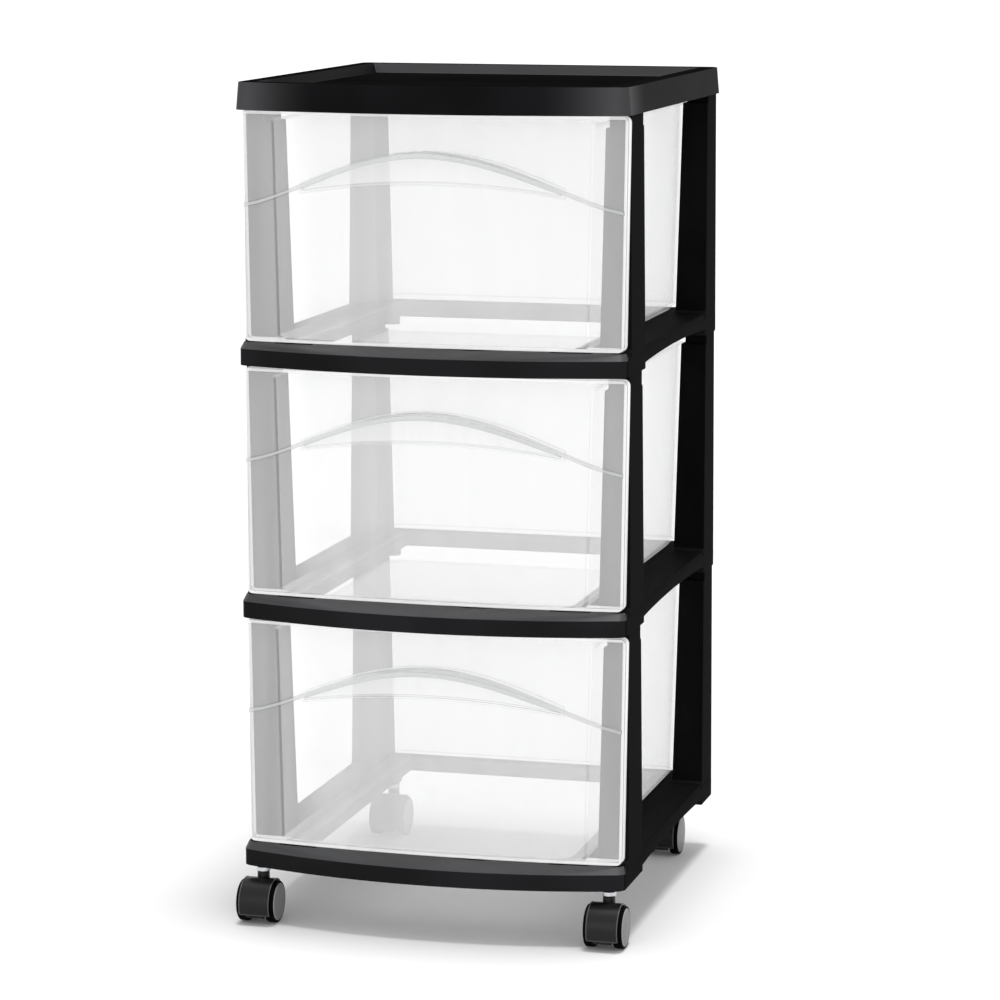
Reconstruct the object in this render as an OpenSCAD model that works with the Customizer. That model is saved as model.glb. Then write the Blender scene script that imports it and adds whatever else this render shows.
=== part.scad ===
// Rolling drawer tower: three stacked tier frames with tapered hollow posts, a
// top tray, three clear drawers and four twin-wheel casters.
// Units are millimetres. X is to the right, the drawers face -Y and Z is up.
// The origin is on the floor, below the middle of the tower.

/* [Overall] */
// Width of a tier frame over its side rails
frame_w = 318; // [290:1:360]
// Depth of a tier frame along its sides, without the bowed front
frame_d = 338; // [300:1:400]
// How far the front bar bows out in the middle
front_bow = 25; // [22:1:35]
// Height from one tier to the next
tier_pitch = 205; // [170:1:240]
// Number of tiers is fixed at three; this is the wall of the black mouldings
frame_wall = 2.5; // [2:0.1:3]
// Clearance between parts that only plug or press together
plug_gap = 0.2; // [0.1:0.05:0.3]
// Clearance under and beside a part that slides
slide_gap = 0.3; // [0.2:0.05:0.5]

/* [Frame ring] */
// Height of the upright face of the ring
face_h = 13.5; // [11:0.5:16]
// Height of the ring's deck, which carries the drawer
deck_h = 18.5; // [17.5:0.5:22]
// How far the upper edge of the ring leans in
edge_lean = 1.2; // [0.5:0.1:2]
// Radius of the ring's upright corners
corner_r = 8; // [6:0.5:10]
// Width of the side shelf that a drawer runs on
side_shelf_w = 49; // [45:1:54]
// Width of the shelf along the back
back_shelf_w = 15; // [10:1:18]
// Radius of the corners of the ring's middle opening
opening_r = 12; // [6:1:20]
// Height of the lip that stiffens the middle opening
lip_h = 9.5; // [6:0.5:12]
// How far the side rails stop short of the corner feet at their ends
rail_lift = 5; // [3:0.5:6]
// Extra rise of the side rails in the middle of their arch
rail_arch = 3; // [1:0.5:4]
// How far the back rail stops short of the corner feet
back_rail_lift = 3; // [1:0.5:5]
// Spacing of the ribs under the front bar
rib_spacing = 53; // [40:1:70]

/* [Posts] */
// Width of a front post at its foot
front_post_w = 26; // [24:0.5:28]
// Depth of a front post at its foot
front_post_d = 49.5; // [44:0.5:54]
// Width of a back post at its foot
back_post_w = 27; // [25:0.5:29]
// Depth of a back post at its foot
back_post_d = 47; // [42:0.5:52]
// How much a post narrows in width on its way up
post_taper_w = 4.5; // [3:0.5:6]
// How much a post narrows in depth on its way up
post_taper_d = 5.5; // [3:0.5:8]
// How much the outer faces of a post lean in on the way up
post_draft = 1; // [0.4:0.1:1.2]
// Step from a post to its narrower neck
neck_step = 3; // [2:0.5:4]
// Visible length of the neck on the front posts
front_neck_h = 12; // [8:0.5:16]
// Visible length of the neck on the back posts
back_neck_h = 8; // [6:0.5:12]
// Length of the tenon that plugs into the ring above
tenon_h = 10; // [8:0.5:11]

/* [Top tray] */
// Height of the tray's outer band
tray_h = 22; // [20:0.5:26]
// How far the tray's band hangs below the post tops
tray_hang = 1.5; // [0.5:0.5:3]
// How far the band's lower edge stands out beyond the frame on each side
tray_flare = 1.5; // [1:0.25:3]
// Width of the flat rim around the tray
rim_w = 14; // [12:0.5:18]
// Depth of the tray
tray_depth = 8; // [6:0.5:9]
// How much the tray's inner walls slope
tray_slope = 3; // [1:0.5:5]

/* [Drawers] */
// Gap between the ring's deck and the bottom of a drawer front
front_gap = 0.8; // [0.5:0.1:1.5]
// Gap between the top of a drawer front and the ring above it
front_top_gap = 2.2; // [2:0.1:6]
// How far the upper corners of a drawer front lie inside the frame's sides
front_side_gap = 0.5; // [0.2:0.1:2]
// How much a drawer front narrows on each side from top to bottom
front_taper = 2.5; // [0:0.5:4]
// How far a drawer front bows out in the middle
drawer_bow = 10; // [6:0.5:14]
// Setback of the drawer front from the ring's front corners
front_setback = 5.5; // [4:0.5:8]
// Depth of the rim that turns back around a drawer front
rim_d = 10; // [7:0.5:12]
// Radius of the corners of a drawer front
front_r = 5; // [3:0.5:8]
// Wall of a drawer front
front_wall = 2.5; // [2:0.1:3]
// Gap between the front's rim and the posts behind it
rim_gap = 0.5; // [0.3:0.1:1]
// Gap between the drawer box and the foot of the posts beside it
box_side_gap = 4.5; // [4:0.5:10]
// How much the box widens on each side towards its top
box_flare = 4; // [2:0.5:4]
// Gap between the top of the box and the ring above it
box_top_gap = 8.5; // [5:0.5:30]
// Wall of the drawer box
box_wall = 2; // [1.6:0.1:2.4]
// Gap between the back of the box and the back of the frame
box_back_gap = 12; // [12:1:30]
// Radius of the upright corners of the box
box_r = 9; // [8:1:20]
// Width of the chamfer around the box floor
box_chamfer = 4; // [2:0.5:6]
// Width and thickness of the lip around the top of the box
box_lip = 2; // [1.5:0.5:2.5]
// Width of the runners under the box
runner_w = 8; // [5:1:9]
// Height of the runners under the box
runner_h = 1.5; // [1:0.25:2]

/* [Drawer pull] */
// How far the pull's middle lies below the top of the drawer front
pull_top_gap = 29.8; // [20:0.2:40]
// How much the ridge falls from the pull's middle to the edges of the front
ridge_rise = 44; // [30:1:50]
// How far the thin ridge beside the pull stands out
ridge_t = 1.6; // [1:0.1:2]
// Height of that ridge
ridge_h = 3; // [1:0.1:4]
// Half width of the arched pull
pull_half_w = 106; // [80:1:120]
// How far the pull stands out in the middle
pull_out = 17; // [12:0.5:18]
// Thickness of the pull
pull_t = 4; // [2.5:0.1:5]
// Height of the finger pocket below the pull in the middle
pocket_h = 19.5; // [15:0.5:24]
// How much lower the pocket's lower edge is at its ends
pocket_drop = 9; // [5:0.5:12]
// Depth of the finger pocket
pocket_d = 5; // [3:0.5:8]

/* [Casters] */
// Distance of the front caster stems from the frame's sides
front_stem_in = 14; // [13:0.5:24]
// Setback of the front caster stems from the front corners
front_stem_y = 8; // [8:0.5:10]
// Distance of the back caster stems from the frame's sides
back_stem_in = 35; // [34:0.5:38]
// Distance of the back caster stems from the back of the frame
back_stem_y = 33; // [26:1:44]
// Radius of a caster wheel
wheel_r = 17; // [15:0.5:22]
// Width of a caster wheel's tread
wheel_w = 7.7; // [7:0.1:10]
// Half width of the body between the wheels
body_half_w = 7.6; // [7:0.1:9]
// Half width of the hood over the wheels
hood_half_w = 12.8; // [12:0.1:15]
// Wall of the hood
hood_wall = 1.4; // [1.2:0.1:2]
// Clearance around the turning wheels
wheel_gap = 0.5; // [0.4:0.05:0.8]
// Distance of the wheels' axle from the stem
trail = 8; // [7:0.5:10]
// Radius of the axle
axle_r = 2.5; // [2:0.1:3]
// Radial running clearance on the axle and the stem
run_gap = 0.05; // [0.03:0.01:0.08]
// Thickness of a wheel cap
cap_t = 1.8; // [1.4:0.1:2.4]
// Width of the tyre ring around a wheel cap
cap_edge = 1.9; // [1.6:0.1:3]
// Height of the boss on top of the hood
boss_h = 3.8; // [3:0.2:7]
// Radius of that boss
boss_r = 5; // [4.5:0.1:6]
// Radius of the stem inside the hood
stem_low_r = 3.4; // [3:0.1:3.6]
// How far the stem reaches down into the hood
stem_low_h = 19; // [14:0.5:22]
// Radius of the stem's flange
flange_r = 5.8; // [5:0.1:7]
// Thickness of the stem's flange
flange_h = 4.5; // [2:0.25:6]
// Height of the neck above the flange
stem_neck_h = 1.5; // [1:0.25:3]
// Radius of the stem inside the frame
stem_r = 3.9; // [3.5:0.1:4]
// Length of the stem inside the frame
stem_h = 13; // [10:0.5:15]
// Wall of the split grip ring around the stem
grip_wall = 1.1; // [0.8:0.1:1.3]
// Length of the grip ring
grip_h = 9; // [6:0.5:10]
// Width of the slot in the grip ring
grip_slot = 1.6; // [1:0.1:3]
// Wall of the stem's socket in the frame
socket_wall = 2; // [1.5:0.1:2.4]

/* [Hidden] */
$fn = 64;
hull_fn = 32;
eps = 0.02;
cut = 1;

frame_black = "#202022";
caster_black = "#1c1c1d";
clear_milk = [0.93, 0.94, 0.95, 0.45];
steel_grey = "#c3c6c9";
cap_grey = "#808183";

// Levels
boss_z = 2 * wheel_r + wheel_gap + hood_wall + boss_h;
flange_z = boss_z + slide_gap;
base_z = flange_z + flange_h + stem_neck_h;
tray_z = base_z + 3 * tier_pitch - tray_hang;
tray_floor_z = tray_z + tray_h - tray_depth;

// Plan of the ring
half_w = frame_w / 2;
depth_all = frame_d + front_bow;
back_y = depth_all / 2;
corner_y = back_y - frame_d;
ring_arc_r = bow_radius(half_w, front_bow);
ring_arc_y = corner_y - front_bow + ring_arc_r;
shelf_x = half_w - side_shelf_w;

// Plan of the drawer front
face_half_w = half_w - front_side_gap;
face_y = corner_y + front_setback;
face_arc_r = bow_radius(face_half_w, drawer_bow);
face_arc_y = face_y - drawer_bow + face_arc_r;
face_tilt = asin((half_w + corner_r) / face_arc_r);
rim_back_y = face_y + rim_d;
post_y = rim_back_y + rim_gap;
opening_y = post_y + frame_wall;

// Posts
post_outer = frame_wall + plug_gap;
front_neck_z = tier_pitch - front_neck_h;
back_neck_z = tier_pitch - back_neck_h;
front_free_y = post_y + front_post_d;
back_free_y = back_y - back_post_d;

// Drawer levels above the underside of its ring
face_z = deck_h + front_gap;
front_h = tier_pitch - front_top_gap - face_z;
box_half_w = half_w - back_post_w - box_side_gap;
box_z = deck_h + slide_gap + runner_h;
box_top_z = tier_pitch - box_top_gap;
box_back_y = back_y - box_back_gap;
ridge_z = face_z + front_h - pull_top_gap - ridge_rise;
pocket_z = ridge_z + ridge_rise - pull_t - pocket_h;

// Casters
axle_z = wheel_r;
hood_r = wheel_r + wheel_gap + hood_wall;
wheel_in_x = body_half_w + wheel_gap;
wheel_out_x = wheel_in_x + wheel_w;
cap_r = wheel_r - cap_edge;
cap_x = wheel_out_x - cap_t + 0.4;
cap_dome = 0.5;
hub_r = axle_r + 3;
bore_r = stem_low_r + run_gap;
grip_in_r = stem_r + run_gap;
grip_out_r = grip_in_r + grip_wall;
socket_r = grip_out_r + run_gap;
hood_front_angle = 118;
hood_back_angle = 48;
body_floor_z = 6;

TIERS = [["lower", base_z], ["middle", base_z + tier_pitch], ["upper", base_z + 2 * tier_pitch]];
CORNERS = [
    ["front_left", front_stem_in - half_w, corner_y + front_stem_y],
    ["front_right", half_w - front_stem_in, corner_y + front_stem_y],
    ["rear_left", back_stem_in - half_w, back_y - back_stem_y],
    ["rear_right", half_w - back_stem_in, back_y - back_stem_y]
];
CASTER_PARTS = ["stem", "grip_ring", "hood", "axle", "left_wheel", "right_wheel", "left_cap", "right_cap"];

// ---- Outlines -------------------------------------------------------------

// Radius of an arc that spans a half width w with a bow b
function bow_radius(w, b) = (w * w + b * b) / (2 * b);

function arc(cx, cy, r, a0, a1, n) =
    [for (i = [0:n]) let (a = a0 + (a1 - a0) * i / n) [cx + r * cos(a), cy + r * sin(a)]];

// Closed outline: straight sides and back, front on the arc (arc_y, arc_r), corners of radius r
function bowed(w, y_back, arc_y, arc_r, r) =
    let (cx = w - r, cy = arc_y - sqrt(pow(arc_r - r, 2) - cx * cx), tilt = atan2(cy - arc_y, cx))
    concat(
        [for (p = arc(0, arc_y, arc_r, 180 - tilt, 360 + tilt, 28)) p],
        [for (i = [1:6]) let (a = tilt * (1 - i / 6)) [cx + r * cos(a), cy + r * sin(a)]],
        arc(cx, y_back - r, r, 0, 90, 6),
        arc(-cx, y_back - r, r, 90, 180, 6),
        [for (i = [0:5]) let (a = 180 - tilt * i / 6) [-cx + r * cos(a), cy + r * sin(a)]]
    );

// The ring's outline, moved in by d
function ring_outline(d) = bowed(half_w - d, back_y - d, ring_arc_y, ring_arc_r - d, max(corner_r - d, 1));

// The edge of the deck in front of the drawer, moved in by d
function deck_outline(d) =
    bowed(half_w - edge_lean - d, back_y - edge_lean - d, face_arc_y, face_arc_r + 0.5 - d, max(corner_r - d, 1));

// The tray's outline, moved out by d
function tray_outline(d) = ring_outline(-d);

// Height of the ridge across the drawer front at x, above the underside of the ring
function ridge_at(x) = ridge_z + ridge_rise * pow(cos(90 * min(abs(x) / face_half_w, 1)), 1.4);

// Lower edge of the finger pocket at x
function pocket_at(x) = pocket_z - pocket_drop * pow(x / pull_half_w, 2);

// How far the pull stands out at x
function pull_at(x) = pull_out * pow(max(cos(90 * x / pull_half_w), 0), 0.8);

// Y of the drawer's outer face at x
function face_at(x) = face_arc_y - sqrt(face_arc_r * face_arc_r - x * x);

// Rounded, tapered outline of the drawer front in X and Z, moved in by d
function front_outline(d) =
    let (r = max(front_r - d, 0.8), xt = face_half_w - d - r, xb = face_half_w - front_taper - d - r,
         z0 = face_z + d + r, z1 = face_z + front_h - d - r)
    concat(arc(xb, z0, r, -90, 0, 5), arc(xt, z1, r, 0, 90, 5), arc(-xt, z1, r, 90, 180, 5),
           arc(-xb, z0, r, 180, 270, 5));

function rounded_box(w, y0, y1, r) =
    concat(arc(w - r, y0 + r, r, -90, 0, 6), arc(w - r, y1 - r, r, 0, 90, 6), arc(-w + r, y1 - r, r, 90, 180, 6),
           arc(-w + r, y0 + r, r, 180, 270, 6));

// ---- Helpers --------------------------------------------------------------

module slab(points, z, h) {
    translate([0, 0, z]) linear_extrude(h) polygon(points);
}

// Extrudes an outline drawn in X and Z from y0 to y1
module along_y(points, y0, y1) {
    translate([0, y1, 0]) rotate([90, 0, 0]) linear_extrude(y1 - y0) polygon(points);
}

// Extrudes an outline drawn in Y and Z from x0 to x1
module along_x(points, x0, x1) {
    translate([x0, 0, 0]) rotate([90, 0, 90]) linear_extrude(x1 - x0) polygon(points);
}

module both_sides() {
    children();
    mirror([1, 0, 0]) children();
}

module block(x, y, z) {
    translate([x[0], y[0], z[0]]) cube([x[1] - x[0], y[1] - y[0], z[1] - z[0]]);
}

// Block whose sides lean: low and high give [x0, x1, y0, y1] at the levels z0 and z1
module lean_block(low, high, z0, z1) {
    y_min = min(low[2], high[2]) - cut;
    y_max = max(low[3], high[3]) + cut;
    x_min = min(low[0], high[0]) - cut;
    x_max = max(low[1], high[1]) + cut;
    intersection() {
        along_y([[low[0], z0], [low[1], z0], [high[1], z1], [high[0], z1]], y_min, y_max);
        along_x([[low[2], z0], [low[3], z0], [high[3], z1], [high[2], z1]], x_min, x_max);
    }
}

// Space behind the drawer's face, moved in by d
module behind_face(d, z0, z1) {
    points = concat(
        arc(0, face_arc_y, face_arc_r - d, 270 - face_tilt, 270 + face_tilt, 44),
        [[half_w + 30, back_y + 30], [-half_w - 30, back_y + 30]]
    );
    slab(points, z0, z1 - z0);
}

// ---- Tier frame -----------------------------------------------------------

// Foot sections [x0, x1, y0, y1] of the right-hand posts and their tops
function front_low() = [half_w - front_post_w, half_w, post_y, front_free_y];
function front_high() = [half_w - front_post_w + post_taper_w, half_w - post_draft, post_y, front_free_y - post_taper_d];
function back_low() = [half_w - back_post_w, half_w, back_free_y, back_y];
function back_high() = [half_w - back_post_w + post_taper_w, half_w - post_draft, back_free_y + post_taper_d,
    back_y - post_draft];

function front_neck() = front_high() + [neck_step, 0, 0, -neck_step];
function back_neck() = back_high() + [neck_step, 0, neck_step, 0];
function front_tenon() = [front_neck()[0], half_w - post_outer, post_y + post_outer, front_neck()[3]];
function back_tenon() = [back_neck()[0], half_w - post_outer, back_neck()[2], back_y - post_outer];
function grown(s, d) = s + [-d, d, -d, d];

module section_block(s, z0, z1) {
    block([s[0], s[1]], [s[2], s[3]], [z0, z1]);
}

// A tenon, or the room for one when d is the gap around it
module tenon_block(tenon, d, z0, z1) {
    intersection() {
        section_block(grown(tenon, d), z0, z1);
        slab(ring_outline(post_outer - d), z0 - cut, z1 - z0 + 2 * cut);
    }
}

// One post from its foot to the end of its tenon
module post(low, high, neck, tenon, neck_z) {
    intersection() {
        union() {
            lean_block(low, high, 0, neck_z);
            section_block(neck, neck_z - eps, tier_pitch);
        }
        hull() {
            slab(ring_outline(0), 0, eps);
            slab(ring_outline(post_draft), front_neck_z, tier_pitch - front_neck_z);
        }
    }
    tenon_block(tenon, 0, tier_pitch - eps, tier_pitch + tenon_h);
}

// What is cut out of a post: the socket in its foot and the core above it
module post_core(low, high, tenon, neck_z) {
    tenon_block(tenon, plug_gap, -cut, tenon_h + plug_gap);
    intersection() {
        lean_block(grown(low, -frame_wall), grown(high, -frame_wall - neck_step), tenon_h + plug_gap + frame_wall,
            neck_z - frame_wall);
        slab(ring_outline(frame_wall), 0, tier_pitch);
    }
    tenon_block(tenon, -frame_wall, neck_z - frame_wall - eps, tier_pitch + tenon_h + cut);
}

module ring_solid() {
    hull() {
        slab(ring_outline(0), 0, face_h);
        slab(deck_outline(0), deck_h - eps, eps);
    }
}

module ring_hollow() {
    hull() {
        slab(ring_outline(frame_wall), -cut, face_h + cut - frame_wall);
        slab(deck_outline(frame_wall), deck_h - frame_wall - eps, eps);
    }
}

module opening_prism(d, z0, z1) {
    slab(rounded_box(shelf_x - d, opening_y + d, back_y - back_shelf_w - d, opening_r - d), z0, z1 - z0);
}

module caster_bosses() {
    for (c = CORNERS)
        translate([c[1], c[2], 0]) cylinder(r = socket_r + socket_wall, h = deck_h - frame_wall + eps);
}

// Ribs between the front bar's face and the lip of the opening
module front_ribs() {
    for (i = [-2:2])
        translate([i * rib_spacing - frame_wall / 2, corner_y - front_bow, rail_lift])
            cube([frame_wall, front_bow + opening_y - corner_y - eps, deck_h - frame_wall - rail_lift + eps]);
}

module side_rail_arch() {
    span = [front_free_y, back_free_y];
    mid = (span[0] + span[1]) / 2;
    half = (span[1] - span[0]) / 2;
    points = concat(
        [[span[0], -cut]],
        [for (i = [0:16]) let (y = span[0] + (span[1] - span[0]) * i / 16)
            [y, rail_lift + rail_arch * (1 - pow((y - mid) / half, 2))]],
        [[span[1], -cut]]
    );
    along_x(points, shelf_x - cut, half_w + cut);
}

module back_rail_cut() {
    half = half_w - back_post_w;
    block([-half, half], [back_y - back_shelf_w - cut, back_y + cut], [-cut, back_rail_lift]);
}

module tier_frame() {
    color(frame_black)
    difference() {
        union() {
            difference() {
                ring_solid();
                ring_hollow();
            }
            intersection() {
                ring_solid();
                union() {
                    opening_prism(-frame_wall, deck_h - lip_h, deck_h);
                    caster_bosses();
                    front_ribs();
                }
            }
            both_sides() {
                post(front_low(), front_high(), front_neck(), front_tenon(), front_neck_z);
                post(back_low(), back_high(), back_neck(), back_tenon(), back_neck_z);
            }
        }
        opening_prism(0, -cut, deck_h + cut);
        both_sides() {
            post_core(front_low(), front_high(), front_tenon(), front_neck_z);
            post_core(back_low(), back_high(), back_tenon(), back_neck_z);
            side_rail_arch();
        }
        back_rail_cut();
        for (c = CORNERS)
            translate([c[1], c[2], -cut]) cylinder(r = socket_r, h = stem_h + plug_gap + cut);
    }
}

// ---- Top tray -------------------------------------------------------------

// Sockets that the top frame's tenons plug into
module tray_sockets() {
    top = tray_h - tray_depth - frame_wall;
    for (s = [front_tenon(), back_tenon()])
        difference() {
            intersection() {
                section_block(grown(s, post_outer), tray_hang, top + eps);
                slab(tray_outline(0), 0, tray_h);
            }
            tenon_block(s, plug_gap, tray_hang - cut, top);
        }
}

module top_tray() {
    color(frame_black)
    translate([0, 0, tray_z]) {
        difference() {
            hull() {
                slab(tray_outline(tray_flare), 0, eps);
                slab(tray_outline(-tray_flare / 4), tray_h - eps, eps);
            }
            hull() {
                slab(tray_outline(2 * plug_gap - post_draft), -cut, cut);
                slab(tray_outline(tray_flare / 2 - frame_wall), tray_h - tray_depth - frame_wall - eps, eps);
            }
            difference() {
                slab(tray_outline(-frame_wall), tray_h - tray_depth - frame_wall - cut, tray_depth + cut);
                slab(tray_outline(frame_wall - rim_w), 0, tray_h);
            }
            hull() {
                slab(tray_outline(-rim_w - tray_slope), tray_h - tray_depth, eps);
                slab(tray_outline(-rim_w), tray_h - eps, cut);
            }
        }
        both_sides() tray_sockets();
    }
}

// ---- Drawers --------------------------------------------------------------

// The front: a bowed panel with a rim that turns back all round
module drawer_face() {
    difference() {
        intersection() {
            along_y(front_outline(0), face_y - drawer_bow - cut, rim_back_y);
            behind_face(0, face_z - cut, face_z + front_h + cut);
        }
        intersection() {
            along_y(front_outline(front_wall), face_y - drawer_bow - cut, rim_back_y + cut);
            behind_face(front_wall, face_z - cut, face_z + front_h + cut);
        }
    }
}

function pull_steps(n) = [for (i = [-n:n]) pull_half_w * i / n];

// Lens shape between the pull and the pocket's lower edge, grown by d
function pocket_outline(d) =
    let (xs = pull_steps(14))
    concat(
        [for (x = xs) [x + sign(x) * d, min(pocket_at(x), ridge_at(x) - pull_t) - d]],
        [for (i = [len(xs) - 1:-1:0]) let (x = xs[i]) [x + sign(x) * d, ridge_at(x) - pull_t / 2 + d]]
    );

// Arched pull that stands out of the front
module pull() {
    xs = pull_steps(20);
    profile = concat(
        [for (x = xs) [x, ridge_at(x) - pull_t]],
        [for (i = [len(xs) - 1:-1:0]) [xs[i], ridge_at(xs[i])]]
    );
    plan = concat(
        [for (x = xs) [x, face_at(x) - pull_at(x) - eps]],
        [for (i = [len(xs) - 1:-1:0]) [xs[i], face_at(xs[i]) + front_wall / 2]]
    );
    intersection() {
        along_y(profile, corner_y - front_bow - cut, rim_back_y);
        slab(plan, face_z, front_h);
    }
}

// Thin ridge that runs on from the pull to the edges of the front
module ridge() {
    xs = [for (i = [0:24]) let (w = face_half_w - front_taper - 1) -w + 2 * w * i / 24];
    profile = concat(
        [for (x = xs) [x, ridge_at(x) - ridge_h]],
        [for (i = [len(xs) - 1:-1:0]) [xs[i], ridge_at(xs[i])]]
    );
    intersection() {
        along_y(profile, corner_y - front_bow, rim_back_y);
        difference() {
            behind_face(-ridge_t, face_z, face_z + front_h);
            behind_face(front_wall / 2, face_z - cut, face_z + front_h + cut);
        }
    }
}

// Open-topped box with a chamfered floor, runners and a lip
module drawer_box() {
    w_top = box_half_w + box_flare;
    y0 = face_y - drawer_bow - cut;
    difference() {
        intersection() {
            union() {
                hull() {
                    slab(rounded_box(box_half_w - box_chamfer, y0, box_back_y - box_flare - box_chamfer, box_r), box_z, eps);
                    slab(rounded_box(box_half_w, y0, box_back_y - box_flare, box_r), box_z + box_chamfer, eps);
                    slab(rounded_box(w_top, y0, box_back_y, box_r), box_top_z - eps, eps);
                }
                slab(rounded_box(w_top + box_lip, y0, box_back_y + box_lip, box_r + box_lip), box_top_z - box_lip, box_lip);
                both_sides()
                    block([box_half_w - box_chamfer - runner_w - 1, box_half_w - box_chamfer - 1],
                        [post_y, box_back_y - box_flare - box_r], [box_z - runner_h, box_z + box_wall]);
            }
            behind_face(front_wall / 2, 0, tier_pitch);
        }
        intersection() {
            hull() {
                slab(rounded_box(box_half_w - box_chamfer - box_wall, y0, box_back_y - box_flare - box_chamfer - box_wall,
                    box_r - box_wall), box_z + box_wall, eps);
                slab(rounded_box(box_half_w - box_wall, y0, box_back_y - box_flare - box_wall, box_r - box_wall),
                    box_z + box_chamfer + box_wall / 2, eps);
                slab(rounded_box(w_top - box_wall, y0, box_back_y - box_wall, box_r - box_wall), box_top_z, cut);
            }
            behind_face(front_wall, 0, tier_pitch);
        }
    }
}

module drawer() {
    color(clear_milk) {
        difference() {
            union() {
                drawer_face();
                drawer_box();
                intersection() {
                    along_y(pocket_outline(front_wall), face_y - drawer_bow, post_y + 20);
                    difference() {
                        behind_face(front_wall / 2, face_z, face_z + front_h);
                        behind_face(pocket_d + front_wall, face_z - cut, face_z + front_h + cut);
                    }
                }
            }
            intersection() {
                along_y(pocket_outline(0), face_y - drawer_bow - cut, post_y + 20);
                difference() {
                    behind_face(-cut, face_z, face_z + front_h);
                    behind_face(pocket_d, face_z - cut, face_z + front_h + cut);
                }
            }
        }
        pull();
        ridge();
    }
}

// ---- Casters, each with its stem on the Z axis ----------------------------

module lathe(points) {
    rotate_extrude() polygon(points);
}

// Turns a lathed part so that its axis lies along X through the axle
module on_axle() {
    translate([0, -trail, axle_z]) rotate([0, 90, 0]) children();
}

module stem() {
    low_z = flange_z - stem_low_h;
    top_z = base_z + stem_h;
    color(steel_grey)
    lathe([
        [0, low_z], [stem_low_r - 0.6, low_z], [stem_low_r, low_z + 0.6], [stem_low_r, flange_z],
        [flange_r - 0.5, flange_z], [flange_r, flange_z + 0.5], [flange_r, flange_z + flange_h - 0.8],
        [flange_r - 0.8, flange_z + flange_h], [stem_r + 0.6, flange_z + flange_h], [stem_r, base_z],
        [stem_r, top_z - 1.2], [stem_r - 1.2, top_z], [0, top_z]
    ]);
}

module grip_ring() {
    z0 = base_z + (stem_h - grip_h) / 2;
    color(steel_grey)
    translate([0, 0, z0])
    difference() {
        cylinder(r = grip_out_r, h = grip_h);
        translate([0, 0, -cut]) cylinder(r = grip_in_r, h = grip_h + 2 * cut);
        translate([0, -grip_slot / 2, -cut]) cube([grip_out_r + cut, grip_slot, grip_h + 2 * cut]);
    }
}

// Sector of the hood as seen along the axle, from the low front over the top to the back
function hood_sector(r) =
    concat([[0, 0]], [for (i = [0:20])
        let (a = 90 + hood_front_angle - (hood_front_angle + hood_back_angle) * i / 20) [r * cos(a), r * sin(a)]]);

module hood() {
    color(caster_black)
    difference() {
        union() {
            // Shell over both wheels
            intersection() {
                on_axle() translate([0, 0, -hood_half_w]) cylinder(r = hood_r, h = 2 * hood_half_w);
                translate([0, -trail, axle_z]) along_x(hood_sector(2 * hood_r), -hood_half_w - cut, hood_half_w + cut);
            }
            // Body between the wheels
            intersection() {
                on_axle() translate([0, 0, -body_half_w]) cylinder(r = hood_r, h = 2 * body_half_w);
                block([-body_half_w, body_half_w], [-trail - hood_r, boss_r + 1], [body_floor_z, axle_z + hood_r]);
            }
            cylinder(r = boss_r, h = boss_z);
        }
        // Room for the wheels on both sides of the body
        both_sides()
            on_axle() translate([0, 0, body_half_w]) cylinder(r = wheel_r + wheel_gap, h = wheel_w * 2);
        on_axle() translate([0, 0, -body_half_w - cut]) cylinder(r = axle_r + run_gap, h = 2 * body_half_w + 2 * cut);
        translate([0, 0, flange_z - stem_low_h - slide_gap]) cylinder(r = bore_r, h = stem_low_h + 2 * cut);
        translate([0, 0, -cut]) cylinder(r = boss_r + cut, h = body_floor_z + cut);
    }
}

module axle() {
    half = cap_x - slide_gap;
    color(steel_grey)
    on_axle()
    lathe([
        [0, -half], [axle_r - 0.5, -half], [axle_r, -half + 0.5], [axle_r, half - 0.5], [axle_r - 0.5, half], [0, half]
    ]);
}

// Right-hand wheel, turned about the axle
module wheel() {
    inner = axle_r + run_gap;
    color(caster_black)
    on_axle()
    lathe([
        [inner, wheel_in_x], [hub_r, wheel_in_x], [hub_r, wheel_in_x + 3], [cap_r, wheel_in_x + 3], [cap_r, wheel_in_x],
        [wheel_r - 0.8, wheel_in_x], [wheel_r, wheel_in_x + 0.8], [wheel_r, wheel_out_x - 0.8],
        [wheel_r - 0.8, wheel_out_x], [cap_r + run_gap, wheel_out_x], [cap_r + run_gap, cap_x - run_gap],
        [inner, cap_x - run_gap]
    ]);
}

// Right-hand cap, pressed into the outer side of the wheel
module cap() {
    face = cap_x + cap_t;
    color(cap_grey)
    on_axle()
    lathe([
        [0, cap_x], [cap_r, cap_x], [cap_r, face - 0.6], [cap_r - 0.6, face], [cap_r * 0.5, face + cap_dome * 0.7],
        [0, face + cap_dome]
    ]);
}

module at_corner(c) {
    translate([c[1], c[2], 0]) children();
}

top_tray();
for (t = TIERS) {
    translate([0, 0, t[1]]) tier_frame();
    translate([0, 0, t[1]]) drawer();
}
for (c = CORNERS) {
    at_corner(c) stem();
    at_corner(c) grip_ring();
    at_corner(c) hood();
    at_corner(c) axle();
    at_corner(c) mirror([1, 0, 0]) wheel();
    at_corner(c) wheel();
    at_corner(c) mirror([1, 0, 0]) cap();
    at_corner(c) cap();
}
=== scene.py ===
import math

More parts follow.
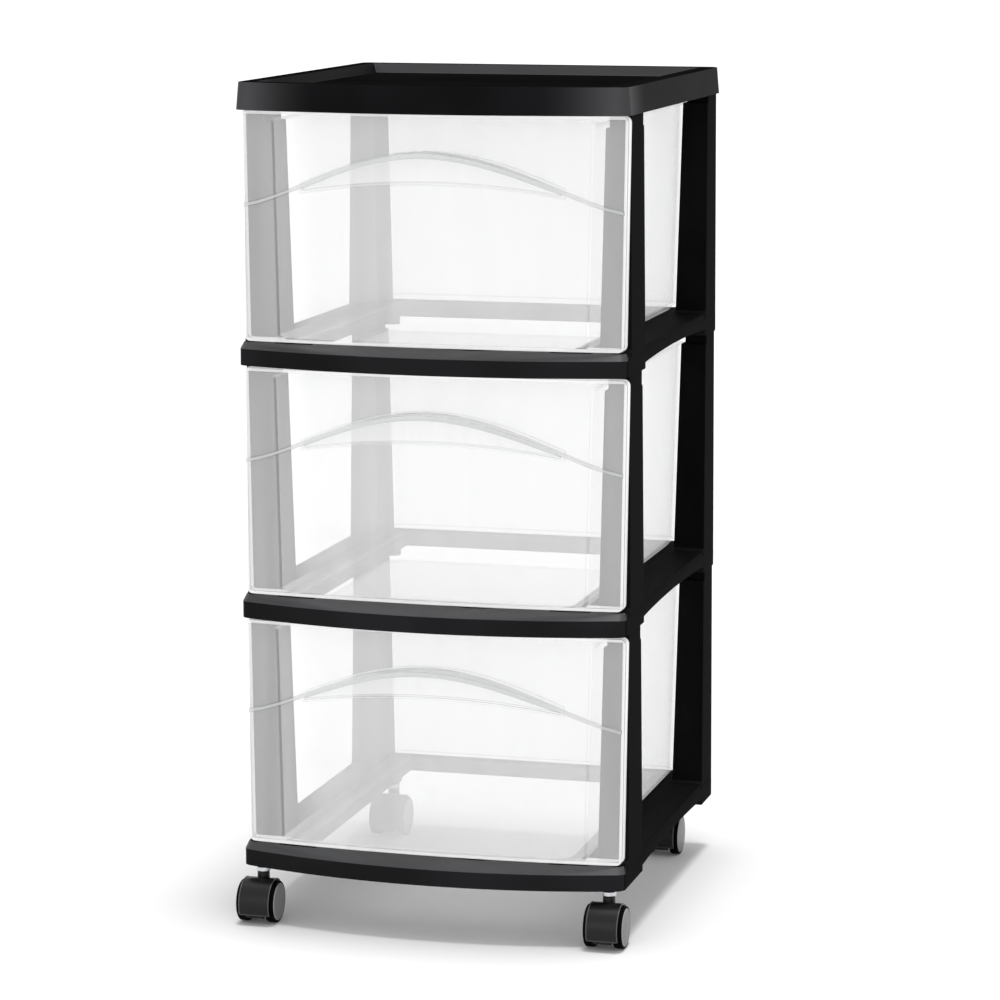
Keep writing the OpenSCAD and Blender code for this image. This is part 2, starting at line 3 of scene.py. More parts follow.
import bpy
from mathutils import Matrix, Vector


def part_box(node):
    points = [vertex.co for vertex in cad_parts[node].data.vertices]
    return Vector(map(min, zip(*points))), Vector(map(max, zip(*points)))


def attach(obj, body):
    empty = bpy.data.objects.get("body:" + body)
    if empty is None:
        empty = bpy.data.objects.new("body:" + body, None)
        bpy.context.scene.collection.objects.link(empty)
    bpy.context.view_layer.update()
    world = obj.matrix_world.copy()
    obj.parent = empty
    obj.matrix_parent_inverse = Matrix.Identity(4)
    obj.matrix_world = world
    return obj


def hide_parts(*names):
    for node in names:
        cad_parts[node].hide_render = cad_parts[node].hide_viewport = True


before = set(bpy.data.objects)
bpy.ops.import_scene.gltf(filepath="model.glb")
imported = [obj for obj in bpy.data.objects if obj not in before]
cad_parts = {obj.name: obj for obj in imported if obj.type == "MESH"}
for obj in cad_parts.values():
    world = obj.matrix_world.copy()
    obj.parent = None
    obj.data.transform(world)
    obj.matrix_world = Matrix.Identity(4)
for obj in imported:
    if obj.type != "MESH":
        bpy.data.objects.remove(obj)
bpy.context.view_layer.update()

mm = 0.001
scene = bpy.context.scene
print("frame loaded:", len(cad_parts), "nodes")


# a solid's lowest and highest corners, in mm, which place all that is painted or added
def nodeBox(node):
    return [[round(value / mm, 3) for value in corner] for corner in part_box(node)]


tiers = ("lower", "middle", "upper")
corners = ("front_left", "front_right", "rear_left", "rear_right")
towerFront = nodeBox("lower_frame")[0][1]  # the foremost point of the bowed rings


# camera
cameraSettings = {
    "target": (11.035, 12.5, 361.2),  # mm
    "azimuth": 15.247,  # degrees to the right of the front
    "pitch": 8.801,
    "distance": 3097.67,  # mm
    "lens": 133.802,
    "sensor": 36,
    "shiftY": -0.04,
    "near": 0.05,  # m
    "far": 50,
}


def setUpCamera(c):
    azimuth, pitch = math.radians(c["azimuth"]), math.radians(c["pitch"])
    back = Vector((math.sin(azimuth) * math.cos(pitch),
                   -math.cos(azimuth) * math.cos(pitch), math.sin(pitch)))
    target = Vector(c["target"]) * mm
    bpy.ops.object.camera_add(location=target + back * c["distance"] * mm)
    camera = bpy.context.object
    camera.rotation_euler = (-back).to_track_quat("-Z", "Y").to_euler()
    camera.data.lens = c["lens"]
    camera.data.sensor_width = c["sensor"]
    camera.data.shift_y = c["shiftY"]
    camera.data.clip_start = c["near"]
    camera.data.clip_end = c["far"]
    scene.camera = camera


setUpCamera(cameraSettings)
scene.view_settings.view_transform = "Standard"
scene.cycles.transparent_max_bounces = 48  # the clear drawers lie many walls deep
print("camera set")


# materials
def linearFromHex(code):
    channels = [int(code[i:i + 2], 16) / 255 for i in (1, 3, 5)]
    linear = [c / 12.92 if c <= 0.04045 else ((c + 0.055) / 1.055) ** 2.4 for c in channels]
    return (*linear, 1.0)


def addNode(tree, kind, values=None, links=None, **settings):
    node = tree.nodes.new(kind)
    for key, value in settings.items():
        setattr(node, key, value)
    for socket, value in (values or {}).items():
        node.inputs[socket].default_value = value
    for socket, source in (links or {}).items():
        tree.links.new(source, node.inputs[socket])
    return node


def newMaterial(name):
    material = bpy.data.materials.new(name)
    material.use_nodes = True
    tree = material.node_tree
    tree.nodes.clear()
    return material, tree


def finishMaterial(tree, shader):
    addNode(tree, "ShaderNodeOutputMaterial", links={"Surface": shader})


noiseRange = {"From Min": 0.3, "From Max": 0.7}  # where most values of a noise lie
firstColor, secondColor, mixedColor = 6, 7, 2  # a Mix node's sockets for colours
polypropyleneIor = 1.49
nylonIor = 1.53


# Injection-moulded polypropylene, dyed black: a deep black with a soft satin
# sheen, from the fine spark-eroded grain of the mould. The lid's front corners,
# the ledges below the drawers and the tray's wall at the back carry a painted
# highlight, paler and shinier; the posts and the side rails carry a painted
# shade, darker and duller, and the tray's floor is coarser and stays dull
blackLooks = {
    "satin": {"color": "#1b1b1c", "worn": "#262628", "specular": 0.015,
              "roughness": 0.55, "grain": 1.2, "grainHeight": 0.02},  # grain in mm
    "lid": {"color": "#101011", "worn": "#19191b", "specular": 0.015,
            "roughness": 0.52, "grain": 1.2, "grainHeight": 0.02,
            # a painted highlight round the two upright front corners, paler and shinier
            "highlightColor": "#4a4a4c", "highlightSpecular": 0.1,
            "highlightSide": 9.5, "highlightFront": 19.0,  # mm in from the lid's side and front
            "highlightFrom": 3.0, "highlightTo": 66.0, "highlightFall": 2.0},
    # painted highlight: paler and shinier where the light from above falls
    "ledge": {"color": "#343436", "worn": "#424244", "specular": 0.26,
              "roughness": 0.42, "grain": 1.2, "grainHeight": 0.02},
    # painted shade: darker and duller on the posts and on the faces turned away from the light
    "post": {"color": "#0d0d0e", "worn": "#151516", "specular": 0.005,
             "roughness": 0.65, "grain": 1.0, "grainHeight": 0.03},
    "dull": {"color": "#0b0b0c", "worn": "#111112", "specular": 0.0,
             "roughness": 0.8, "grain": 0.8, "grainHeight": 0.05},
}
blackWear = {"patch": 125.0, "patchLow": 0.35, "patchHigh": 0.65,  # patch in mm
             "smoother": 0.04, "rougher": 0.05, "bump": 0.25}


# how strongly a place carries the painted highlight: 1 at the two upright front corners, 0 further
# off
def paintedCornerHighlight(tree, look, place):
    low, high = nodeBox("top_tray")
    x, y = high[0] - look["highlightSide"], low[1] + look["highlightFront"]
    spot = addNode(tree, "ShaderNodeSeparateXYZ", links={0: place})
    side = addNode(tree, "ShaderNodeMath", links={0: spot.outputs["X"]}, operation="ABSOLUTE")
    flat = addNode(tree, "ShaderNodeCombineXYZ", links={0: side.outputs[0], 1: spot.outputs["Y"]})
    away = addNode(tree, "ShaderNodeVectorMath", {1: (x * mm, y * mm, 0)}, {0: flat.outputs[0]},
                   operation="DISTANCE")
    fade = addNode(tree, "ShaderNodeMapRange",
                   {"From Min": look["highlightFrom"] * mm, "From Max": look["highlightTo"] * mm,
                    "To Min": 1.0, "To Max": 0.0}, {"Value": away.outputs["Value"]})
    highlight = addNode(tree, "ShaderNodeMath", {1: look["highlightFall"]}, {0: fade.outputs["Result"]},
                     operation="POWER")
    return highlight.outputs[0]


def mouldedBlackPolypropylene(finish):
    look, wear = blackLooks[finish], blackWear
    material, tree = newMaterial(finish + "BlackPolypropylene")
    place = addNode(tree, "ShaderNodeTexCoord").outputs["Object"]
    cloud = addNode(tree, "ShaderNodeTexNoise", {"Scale": 1 / (wear["patch"] * mm), "Detail": 2.0},
                    {"Vector": place})
    patch = addNode(tree, "ShaderNodeMapRange",
                    {"From Min": wear["patchLow"], "From Max": wear["patchHigh"]},
                    {"Value": cloud.outputs["Fac"]})
    grain = addNode(tree, "ShaderNodeTexNoise", {"Scale": 1 / (look["grain"] * mm), "Detail": 2.0},
                    {"Vector": place})
    tint = addNode(tree, "ShaderNodeMix", links={0: patch.outputs["Result"]}, data_type="RGBA")
    tint.inputs[firstColor].default_value = linearFromHex(look["color"])
    tint.inputs[secondColor].default_value = linearFromHex(look["worn"])
    rough = addNode(tree, "ShaderNodeMapRange",
                    {"To Min": look["roughness"] - wear["smoother"],
                     "To Max": look["roughness"] + wear["rougher"]},
                    {"Value": patch.outputs["Result"]})
    bump = addNode(tree, "ShaderNodeBump",
                   {"Strength": wear["bump"], "Distance": look["grainHeight"] * mm},
                   {"Height": grain.outputs["Fac"]})
    shader = addNode(tree, "ShaderNodeBsdfPrincipled",
                     {"IOR": polypropyleneIor, "Specular IOR Level": look["specular"]},
                     {"Base Color": tint.outputs[mixedColor], "Roughness": rough.outputs["Result"],
                      "Normal": bump.outputs["Normal"]})
    # the painted highlight: a paler colour and more sheen at the lid's front corners, standing in
    # for a lamp's reflection
    if "highlightColor" in look:
        highlight = paintedCornerHighlight(tree, look, place)
        highlightedTint = addNode(tree, "ShaderNodeMix",
                           links={0: highlight, firstColor: tint.outputs[mixedColor]},
                           data_type="RGBA")
        highlightedTint.inputs[secondColor].default_value = linearFromHex(look["highlightColor"])
        sheen = addNode(tree, "ShaderNodeMapRange",
                        {"To Min": look["specular"], "To Max": look["highlightSpecular"]},
                        {"Value": highlight})
        tree.links.new(highlightedTint.outputs[mixedColor], shader.inputs["Base Color"])
        tree.links.new(sheen.outputs["Result"], shader.inputs["Specular IOR Level"])
    finishMaterial(tree, shader.outputs["BSDF"])
    return material


# Natural polypropylene, uncoloured: milky clear, so that each wall veils what
# lies behind it, and smooth from a polished mould. Each wall also gives off a
# painted glow, light of its own that stands in for the light the drawers lack
# inside, strongest on the rim, then on the box's sides; faint upright streaks
# show how the melt flowed. The rim, the pull and the pocket's wall are thicker,
# the box's sides get thin towards the front, and the pull and the edges are
# painted greyer, a painted shade that draws their lines
milkLooks = {
    "wall": {"color": "#e3e3e4", "alpha": 0.265, "glow": 0.28, "roughness": 0.22, "streaks": 0.1},
    "rim": {"color": "#efefef", "alpha": 0.56, "glow": 0.42, "roughness": 0.22, "streaks": 0.06},
    "pull": {"color": "#cecfd0", "alpha": 0.7, "glow": 0.14, "roughness": 0.2, "streaks": 0.04},
    "pocket": {"color": "#e8e8e9", "alpha": 0.58, "glow": 0.25, "roughness": 0.22, "streaks": 0.03},
    "side": {"color": "#e3e3e4", "alpha": 0.265, "glow": 0.31, "roughness": 0.22, "streaks": 0.1,
             "thin": 0.23, "thinTo": 69.5, "fullFrom": 131.5},  # mm behind the tower's front
    "edge": {"color": "#b9babb", "alpha": 0.4, "glow": 0.1, "roughness": 0.2, "streaks": 0.04},
}
milkFlow = {
    "streakApart": 40 / 3,  # mm
    "streakLong": 1000 / 3,  # drawn out upright, as the melt rose
    "specular": 0.4,
    "uneven": 0.04,
}


def milkyClearPolypropylene(part):
    look, flow = milkLooks[part], milkFlow
    across, along = (1 / (flow[size] * mm) for size in ("streakApart", "streakLong"))
    material, tree = newMaterial(part + "MilkyPolypropylene")
    place = addNode(tree, "ShaderNodeTexCoord").outputs["Object"]
    upright = addNode(tree, "ShaderNodeMapping", {"Scale": (across, across, along)},
                      {"Vector": place})
    streaks = addNode(tree, "ShaderNodeTexNoise", {"Scale": 1.0, "Detail": 3.0},
                      {"Vector": upright.outputs[0]})
    rough = addNode(tree, "ShaderNodeMapRange",
                    {**noiseRange, "To Min": look["roughness"] - flow["uneven"],
                     "To Max": look["roughness"] + flow["uneven"]},
                    {"Value": streaks.outputs["Fac"]})
    veil = addNode(tree, "ShaderNodeMapRange",
                   {**noiseRange, "To Min": look["alpha"] * (1 - look["streaks"]),
                    "To Max": look["alpha"] * (1 + look["streaks"])},
                   {"Value": streaks.outputs["Fac"]})
    if "thin" in look:
        depth = addNode(tree, "ShaderNodeSeparateXYZ", links={0: place})
        fade = addNode(tree, "ShaderNodeMapRange",
                       {"From Min": (towerFront + look["thinTo"]) * mm,
                        "From Max": (towerFront + look["fullFrom"]) * mm,
                        "To Min": look["thin"], "To Max": 1.0}, {"Value": depth.outputs["Y"]})
        veil = addNode(tree, "ShaderNodeMath",
                       links={0: veil.outputs[0], 1: fade.outputs["Result"]},
                       operation="MULTIPLY")
    # painted glow: the plastic gives off light of its own, though it is no lamp
    shader = addNode(tree, "ShaderNodeBsdfPrincipled",
                     {"Base Color": linearFromHex(look["color"]), "IOR": polypropyleneIor,
                      "Specular IOR Level": flow["specular"],
                      "Emission Color": (1, 1, 1, 1), "Emission Strength": look["glow"]},
                     {"Roughness": rough.outputs["Result"], "Alpha": veil.outputs[0]})
    finishMaterial(tree, shader.outputs["BSDF"])
    return material


# Zinc-plated steel, turned and tumbled: bright, with a slightly uneven haze
steelLook = {"color": "#c9cbcf", "roughness": 0.24, "haze": 2.5,  # haze in mm
             "smoother": 0.06, "rougher": 0.08}


def zincPlatedSteel():
    look = steelLook
    material, tree = newMaterial("zincPlatedSteel")
    place = addNode(tree, "ShaderNodeTexCoord").outputs["Object"]
    haze = addNode(tree, "ShaderNodeTexNoise", {"Scale": 1 / (look["haze"] * mm), "Detail": 3.0},
                   {"Vector": place})
    rough = addNode(tree, "ShaderNodeMapRange",
                    {**noiseRange, "To Min": look["roughness"] - look["smoother"],
                     "To Max": look["roughness"] + look["rougher"]}, {"Value": haze.outputs["Fac"]})
    shader = addNode(tree, "ShaderNodeBsdfPrincipled",
                     {"Base Color": linearFromHex(look["color"]), "Metallic": 1.0},
                     {"Roughness": rough.outputs["Result"]})
    finishMaterial(tree, shader.outputs["BSDF"])
    return material


# Moulded nylon of the casters: black, glossier than the frame on the hoods,
# painted paler on their beads as a painted highlight, and blackest and dull on the wheels' treads,
# partly their own dye and partly painted shade under the hood
nylonLooks = {
    "hood": {"color": "#131314", "specular": 0.24, "roughness": 0.32, "grain": 0.9},
    # bead: a painted highlight line; tread: partly painted shade
    "bead": {"color": "#4c4c4e", "specular": 0.45, "roughness": 0.25, "grain": 0.9},
    "tread": {"color": "#040404", "specular": 0.03, "roughness": 0.6, "grain": 0.6},
}
nylonWear = {"smoother": 0.03, "rougher": 0.05}


def mouldedBlackNylon(part):
    look, wear = nylonLooks[part], nylonWear
    material, tree = newMaterial(part + "BlackNylon")
    place = addNode(tree, "ShaderNodeTexCoord").outputs["Object"]
    grain = addNode(tree, "ShaderNodeTexNoise", {"Scale": 1 / (look["grain"] * mm), "Detail": 2.0},
                    {"Vector": place})
    rough = addNode(tree, "ShaderNodeMapRange",
                    {**noiseRange, "To Min": look["roughness"] - wear["smoother"],
                     "To Max": look["roughness"] + wear["rougher"]},
                    {"Value": grain.outputs["Fac"]})
    shader = addNode(tree, "ShaderNodeBsdfPrincipled",
                     {"Base Color": linearFromHex(look["color"]), "IOR": nylonIor,
                      "Specular IOR Level": look["specular"]},
                     {"Roughness": rough.outputs["Result"]})
    finishMaterial(tree, shader.outputs["BSDF"])
    return material


# Moulded grey nylon of the wheel caps: matt and evenly dyed, with a fine mottle,
# and painted paler along the rim, a painted highlight
greyLooks = {
    "disc": {"color": "#727374", "mottled": "#7a7b7c", "roughness": 0.42, "grain": 1.4},
    "rim": {"color": "#a6a7a8", "mottled": "#b0b1b2", "roughness": 0.34, "grain": 1.4},
}
greyWear = {"smoother": 0.04, "rougher": 0.05}


def mouldedGreyNylon(part):
    look, wear = greyLooks[part], greyWear
    material, tree = newMaterial(part + "GreyNylon")
    place = addNode(tree, "ShaderNodeTexCoord").outputs["Object"]
    grain = addNode(tree, "ShaderNodeTexNoise", {"Scale": 1 / (look["grain"] * mm), "Detail": 2.0},
                    {"Vector": place})
    tint = addNode(tree, "ShaderNodeMix", links={0: grain.outputs["Fac"]}, data_type="RGBA")
    tint.inputs[firstColor].default_value = linearFromHex(look["color"])
    tint.inputs[secondColor].default_value = linearFromHex(look["mottled"])
    rough = addNode(tree, "ShaderNodeMapRange",
                    {**noiseRange, "To Min": look["roughness"] - wear["smoother"],
                     "To Max": look["roughness"] + wear["rougher"]},
                    {"Value": grain.outputs["Fac"]})
    shader = addNode(tree, "ShaderNodeBsdfPrincipled", {"IOR": nylonIor},
                     {"Base Color": tint.outputs[mixedColor], "Roughness": rough.outputs["Result"]})
    finishMaterial(tree, shader.outputs["BSDF"])
    return material


black = {finish: mouldedBlackPolypropylene(finish) for finish in blackLooks}
milk = {part: milkyClearPolypropylene(part) for part in milkLooks}
steel = zincPlatedSteel()
nylon = {part: mouldedBlackNylon(part) for part in nylonLooks}
grey = {part: mouldedGreyNylon(part) for part in greyLooks}
print("materials made")


# the axles and the grip rings are out of sight and keep their solids
for corner in corners:
    for part in ("grip_ring", "axle"):
        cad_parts[corner + "_" + part].material_slots[0].material = steel


# the mouldings: each takes its solid's shape and gets its worn-round edges
mouldingLook = {
    "mergeWithin": 0.01,  # mm
    "flatWithin": 0.5,  # degrees, for two triangles that become one face
    "anyShape": 180,  # degrees, so that such a face may have any outline
    "edgeFrom": 38,  # degrees, the bluntest edge that is rounded
    "edgeSteps": 2,
    "smoothTo": 32,
}
facing = 0.5  # a face looks roughly along an axis when its normal has this share of it
square = 0.9  # and squarely with this one


def camelCase(name):
    words = name.split("_")
    return words[0] + "".join(word.capitalize() for word in words[1:])


def selectOnly(piece):
    for other in list(bpy.context.selected_objects):
        other.select_set(False)
    piece.select_set(True)
    bpy.context.view_layer.objects.active = piece


def solidCopy(name, nodeName, *materials):
    m = mouldingLook
    piece = bpy.data.objects.new(name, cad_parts[nodeName].data.copy())
    scene.collection.objects.link(piece)
    selectOnly(piece)
    piece.data.materials.clear()
    for material in materials:
        piece.data.materials.append(material)
    bpy.ops.object.mode_set(mode="EDIT")
    bpy.ops.mesh.select_all(action="SELECT")
    bpy.ops.mesh.remove_doubles(threshold=m["mergeWithin"] * mm)
    bpy.ops.mesh.tris_convert_to_quads(face_threshold=math.radians(m["flatWithin"]),
                                       shape_threshold=math.radians(m["anyShape"]))
    bpy.ops.object.mode_set(mode="OBJECT")
    return piece


def cutFlat(piece, place, normal):
    selectOnly(piece)
    bpy.ops.object.mode_set(mode="EDIT")
    bpy.ops.mesh.select_all(action="SELECT")
    bpy.ops.mesh.bisect(plane_co=Vector(place) * mm, plane_no=normal)
    bpy.ops.object.mode_set(mode="OBJECT")


def paintFaces(piece, layers, layerAt):
    order = list(layers)
    for face in piece.data.polygons:
        face.material_index = order.index(layerAt(face.center / mm, face.normal))


def soften(piece, edge, edgeLayer=-1):  # -1: an edge keeps the layer of the faces beside it
    m = mouldingLook
    selectOnly(piece)
    bevel = piece.modifiers.new("edge", "BEVEL")
    bevel.width = edge * mm
    bevel.segments = m["edgeSteps"]
    bevel.limit_method = "ANGLE"
    bevel.angle_limit = math.radians(m["edgeFrom"])
    bevel.use_clamp_overlap = False
    bevel.material = edgeLayer
    bpy.ops.object.modifier_apply(modifier="edge")
    bpy.ops.object.shade_smooth_by_angle(angle=math.radians(m["smoothTo"]))
    weighted = piece.modifiers.new("normals", "WEIGHTED_NORMAL")
    weighted.keep_sharp = True
    bpy.ops.object.modifier_apply(modifier="normals")


def finishMoulding(piece, nodeName, body, edge, edgeLayer=-1):
    soften(piece, edge, edgeLayer)
    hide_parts(nodeName)
    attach(piece, body)


# top tray: dull on its floor and along the rim's top, with a painted highlight on the wall at the
# back
trayLook = {
    "layers": {"outside": black["lid"], "floorAndRim": black["dull"], "backWall": black["ledge"]},
    "edge": 0.6,  # mm
    "floor": 8.0,  # below the rim's top
    "floorWithin": 0.3,
    "rimWithin": 1.5,
    "backWall": 33.0,  # in from the tray's back
}


def shapeTray():
    t = trayLook
    _, back, top = nodeBox("top_tray")[1]
    floor = top - t["floor"]

    def layerAt(centre, normal):
        # the wall at the back gets the painted highlight
        if normal.y < -facing and centre.y > back - t["backWall"] and centre.z > floor:
            return "backWall"
        onFloor = abs(centre.z - floor) < t["floorWithin"]
        onRim = centre.z > top - t["rimWithin"]
        return "floorAndRim" if normal.z > square and (onFloor or onRim) else "outside"

    tray = solidCopy("topTray", "top_tray", *t["layers"].values())
    paintFaces(tray, t["layers"], layerAt)
    finishMoulding(tray, "top_tray", "tower", t["edge"])


shapeTray()
print("tray shaped")


# tier frames: satin in front, a painted highlight on the ledge, painted shade on the rails and
# posts
frameLook = {
    "layers": {"front": black["satin"], "ledge": black["ledge"], "post": black["post"]},
    "edge": 0.6,  # mm
    "ringTop": 21.0,  # above the ring's underside
    "ledgeBack": 31.5,  # behind the tower's front
    "ledgeTilt": 0.25,  # its faces look up by more than this share
}


def shapeFrame(tier):
    f = frameLook
    ringTop = nodeBox(tier + "_frame")[0][2] + f["ringTop"]

    def layerAt(centre, normal):
        # ledges that look up get the painted highlight
        if normal.z > f["ledgeTilt"] and centre.y < towerFront + f["ledgeBack"]:
            return "ledge"
        # faces looking forward below the ring's top stay satin; the posts, side rails and all else
        # get the painted shade
        return "front" if normal.y < -facing and centre.z < ringTop else "post"

    ring = solidCopy(tier + "Frame", tier + "_frame", *f["layers"].values())
    cutFlat(ring, (0, 0, ringTop), (0, 0, 1))
    paintFaces(ring, f["layers"], layerAt)
    finishMoulding(ring, tier + "_frame", "tower", f["edge"])


for tier in tiers:
    shapeFrame(tier)
print("tier frames shaped")


# drawers: one moulding each, painted by how thick its walls are, and with each layer's painted glow
# or painted shade
drawerLook = {
    "edge": 0.35,  # mm
    "front": 20.5,  # the bowed front's middle, behind the tower's front
    "rimBack": 43.5,  # also behind the tower's front
    "bow": 10.0,
    "height": 183.5,  # of the front, and the heights below are from its foot
    "taper": 2.5,  # how much narrower the front's foot is on each side
    "border": 2.6,
    "boxSide": 37.5,  # in from the front's side
    "lip": 170.7,
    "proud": 0.15,
    "pocketHalf": 107.0,
    "pocketFrom": 2.8,  # deep in the front
    "pocketTo": 8.0,
    "pocketLow": 118.7,
    "pocketHigh": 151.7,
}


def shapeDrawer(tier):
    d = drawerLook
    half, _, top = nodeBox(tier + "_drawer")[1]
    foot = top - d["height"]
    lean = d["taper"] / d["height"]
    insideFoot = half - d["taper"] - d["border"]
    rimBack = towerFront + d["rimBack"]
    bowRadius = (half ** 2 + d["bow"] ** 2) / (2 * d["bow"])
    bowCentre = towerFront + d["front"] + bowRadius

    def layerAt(centre, normal):
        x, y, z = abs(centre.x), centre.y, centre.z - foot
        depth = bowRadius - math.hypot(x, y - bowCentre)
        insideRim = x < insideFoot + lean * z and d["border"] < z < d["height"] - d["border"]
        inPocket = x < d["pocketHalf"] and d["pocketLow"] < z < d["pocketHigh"]
        if depth < -d["proud"]:
            return "pull"
        if inPocket and d["pocketFrom"] < depth < d["pocketTo"]:
            return "pocket"
        if x > half - d["boxSide"] and y > rimBack and abs(normal.x) > square and z < d["lip"]:
            return "side"
        return "rim" if not insideRim and y <= rimBack else "wall"

    drawer = solidCopy(tier + "Drawer", tier + "_drawer", *milk.values())
    cutFlat(drawer, (0, 0, foot + d["border"]), (0, 0, 1))
    cutFlat(drawer, (0, 0, top - d["border"]), (0, 0, 1))
    cutFlat(drawer, (insideFoot, 0, foot), (1, 0, -lean))
    cutFlat(drawer, (-insideFoot, 0, foot), (-1, 0, -lean))
    paintFaces(drawer, milk, layerAt)
    finishMoulding(drawer, tier + "_drawer", tier + "_drawer_body",
                   d["edge"], list(milk).index("edge"))


for tier in tiers:
    shapeDrawer(tier)
print("drawers shaped")


# casters: both rims of the hood carry a bead, its low front edge a lip
casterLook = {
    "hoodEdge": 0.5,  # mm
    "stemEdge": 0.25,
    "wheelEdge": 0.3,
    "capEdge": 0.3,
    "capRim": (0.1, 0.85),  # its faces look along the axle by a share between these
    "beadRound": 18.7,  # from the axle
    "beadRadius": 0.5,
    "beadIn": 0.4,  # from the hood's side
    "beadBack": 44.0,  # degrees round the axle, from the back over the top
    "beadFront": 206.0,
    "beadSides": 10,
    "beadSteps": 40,
    "lipRound": 18.35,
    "lipRadius": 0.7,
    "lipIn": 1.0,
    "lipSides": 14,
    "trimEdge": 0.15,
    "trimMerge": 0.005,
}


def roundAxle(x, radius, angle):
    return Vector((x, radius * math.cos(angle), radius * math.sin(angle))) * mm


# a disc on each side of the hood, spun round the axle into a bead
def spinBeads(half, start, end):
    c = casterLook
    beads = []
    bpy.ops.object.select_all(action="DESELECT")
    for x in (-half, half):
        bpy.ops.mesh.primitive_circle_add(
            vertices=c["beadSides"], radius=c["beadRadius"] * mm, fill_type="NGON",
            calc_uvs=False, rotation=(start, 0, 0),
            location=roundAxle(x, c["beadRound"], start))
        beads.append(bpy.context.object)
    for bead in beads:
        bead.select_set(True)
    bpy.ops.object.join()
    bpy.ops.object.transform_apply(location=True, rotation=True, scale=True)
    bpy.ops.object.mode_set(mode="EDIT")
    bpy.ops.mesh.select_all(action="SELECT")
    bpy.ops.mesh.spin(steps=c["beadSteps"], angle=start - end, center=(0, 0, 0), axis=(1, 0, 0))
    bpy.ops.object.mode_set(mode="OBJECT")
    return bpy.context.object


def joinLip(trim, half, angle):
    c = casterLook
    bpy.ops.object.select_all(action="DESELECT")
    bpy.ops.mesh.primitive_cylinder_add(
        vertices=c["lipSides"], radius=c["lipRadius"] * mm, depth=2 * half * mm,
        calc_uvs=False, rotation=(0, math.pi / 2, 0),
        location=roundAxle(0, c["lipRound"], angle))
    trim.select_set(True)
    bpy.context.view_layer.objects.active = trim
    bpy.ops.object.join()


def hoodTrim(corner):
    c = casterLook
    start, end = math.radians(c["beadBack"]), math.radians(c["beadFront"])
    hoodLow, hoodHigh = nodeBox(corner + "_hood")
    half = (hoodHigh[0] - hoodLow[0]) / 2
    trim = spinBeads(half - c["beadIn"], start, end)
    joinLip(trim, half - c["lipIn"], end)
    axleLow, axleHigh = nodeBox(corner + "_axle")
    trim.location = (Vector(axleLow) + Vector(axleHigh)) / 2 * mm
    bpy.ops.object.transform_apply(location=True, rotation=True, scale=True)
    bpy.ops.object.mode_set(mode="EDIT")
    bpy.ops.mesh.select_all(action="SELECT")
    bpy.ops.mesh.remove_doubles(threshold=c["trimMerge"] * mm)
    bpy.ops.mesh.normals_make_consistent(inside=False)
    bpy.ops.mesh.sort_elements(type="CURSOR_DISTANCE", elements={"FACE"})  # spin's order varies
    bpy.ops.object.mode_set(mode="OBJECT")
    soften(trim, c["trimEdge"])
    trim.name = camelCase(corner) + "HoodTrim"
    trim.data.materials.append(nylon["bead"])
    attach(trim, corner + "_swivel")


# the cap's sloping rim faces get the painted highlight
def capLayer(centre, normal):
    least, most = casterLook["capRim"]
    return "rim" if least < abs(normal.x) < most else "disc"


def shapeWheel(corner, side):
    c, roller = casterLook, corner + "_" + side + "_roller"
    wheelName, capName = corner + "_" + side + "_wheel", corner + "_" + side + "_cap"
    wheel = solidCopy(camelCase(wheelName), wheelName, nylon["tread"])
    finishMoulding(wheel, wheelName, roller, c["wheelEdge"])
    cap = solidCopy(camelCase(capName), capName, *grey.values())
    paintFaces(cap, grey, capLayer)
    finishMoulding(cap, capName, roller, c["capEdge"])


def shapeCaster(corner):
    c, name = casterLook, camelCase(corner)
    hood = solidCopy(name + "Hood", corner + "_hood", nylon["hood"])
    finishMoulding(hood, corner + "_hood", corner + "_swivel", c["hoodEdge"])
    stem = solidCopy(name + "Stem", corner + "_stem", steel)
    finishMoulding(stem, corner + "_stem", "tower", c["stemEdge"])
    hoodTrim(corner)
    for side in ("left", "right"):
        shapeWheel(corner, side)


for corner in corners:
    shapeCaster(corner)
print("casters shaped")


# floor and light: the eye sees the floor paler than the light it sends back
stageLook = {
    "size": 60.0,  # m
    "albedo": 0.62,
    "seenAlbedo": 0.81,
    "lift": 0.02,
    "ambient": 0.77,
    "seenAmbient": 1.0,
}
lamps = {
    "topLight": {"direction": (0.05, 0.0, 1.0), "spread": 15, "strength": 1.9},
    "frontLight": {"direction": (-0.1, -1.0, 0.3), "spread": 30, "strength": 0.2},
}


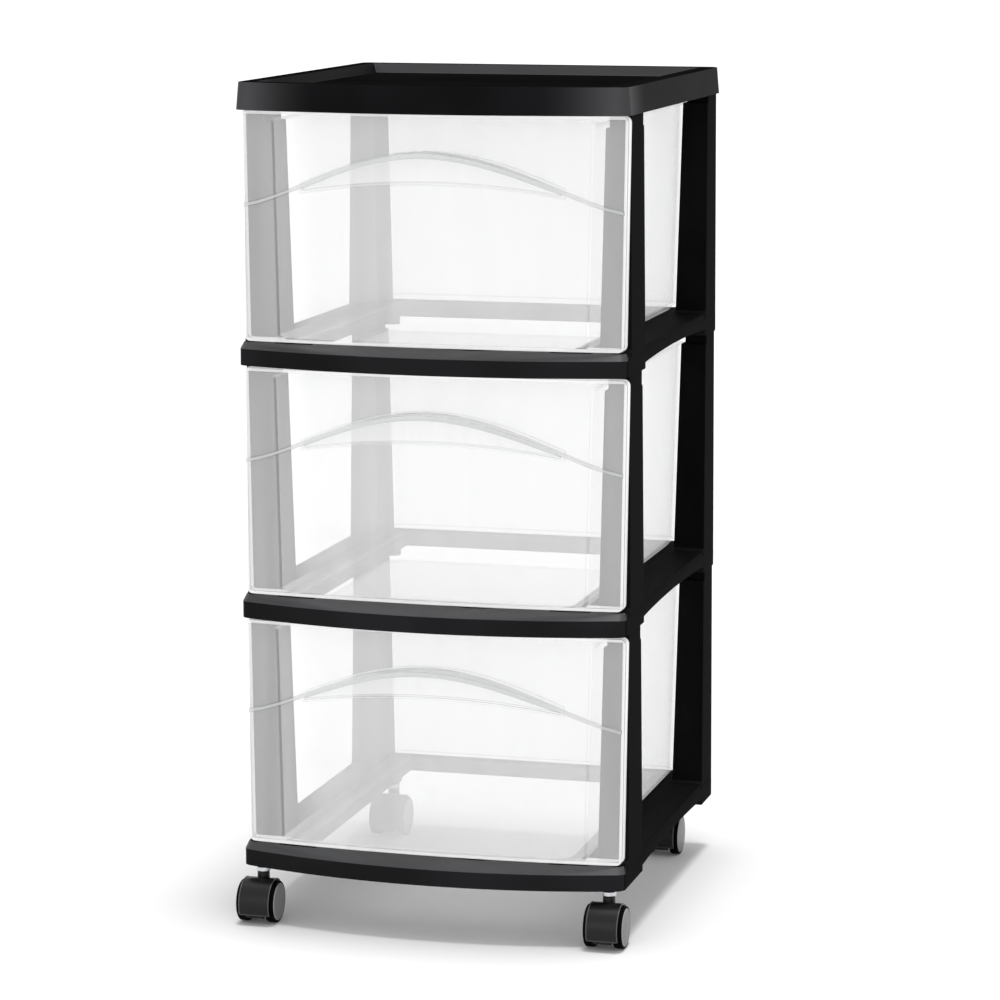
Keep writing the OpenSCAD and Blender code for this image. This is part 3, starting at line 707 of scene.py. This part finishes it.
def seenDirectly(tree):
    rays = addNode(tree, "ShaderNodeLightPath")
    seen = rays.outputs["Is Camera Ray"]
    for kind in ("Is Transmission Ray", "Is Glossy Ray"):
        seen = addNode(tree, "ShaderNodeMath", links={0: seen, 1: rays.outputs[kind]},
                       operation="MAXIMUM").outputs[0]
    return seen


def paleFloor():
    look = stageLook
    material, tree = newMaterial("paleFloor")
    matte = addNode(tree, "ShaderNodeBsdfDiffuse", {"Color": (look["albedo"],) * 3 + (1,)})
    seenMatte = addNode(tree, "ShaderNodeBsdfDiffuse", {"Color": (look["seenAlbedo"],) * 3 + (1,)})
    glow = addNode(tree, "ShaderNodeEmission", {"Color": (1, 1, 1, 1), "Strength": look["lift"]})
    seen = addNode(tree, "ShaderNodeAddShader", links={0: seenMatte.outputs[0], 1: glow.outputs[0]})
    both = addNode(tree, "ShaderNodeMixShader",
                   links={0: seenDirectly(tree), 1: matte.outputs[0], 2: seen.outputs[0]})
    finishMaterial(tree, both.outputs[0])
    bpy.ops.mesh.primitive_plane_add(size=look["size"])
    floor = bpy.context.object
    floor.name = "floor"
    floor.data.materials.append(material)


def plainWorld():
    look = stageLook
    world = bpy.data.worlds.new("plainWorld")
    scene.world = world
    world.use_nodes = True
    tree = world.node_tree
    tree.nodes.clear()
    ambient = addNode(tree, "ShaderNodeBackground",
                      {"Color": (1, 1, 1, 1), "Strength": look["ambient"]})
    white = addNode(tree, "ShaderNodeBackground",
                    {"Color": (1, 1, 1, 1), "Strength": look["seenAmbient"]})
    mix = addNode(tree, "ShaderNodeMixShader",
                  links={0: seenDirectly(tree), 1: ambient.outputs[0], 2: white.outputs[0]})
    addNode(tree, "ShaderNodeOutputWorld", links={"Surface": mix.outputs[0]})


def farLamp(name, look):
    direction = Vector(look["direction"])
    bpy.ops.object.light_add(type="SUN", location=direction)
    lamp = bpy.context.object
    lamp.name = name
    lamp.data.angle = math.radians(look["spread"])
    lamp.data.energy = look["strength"]
    lamp.rotation_euler = (-direction).to_track_quat("-Z", "Y").to_euler()


paleFloor()
plainWorld()
for lampName, lampLook in lamps.items():
    farLamp(lampName, lampLook)
print("stage and light set")
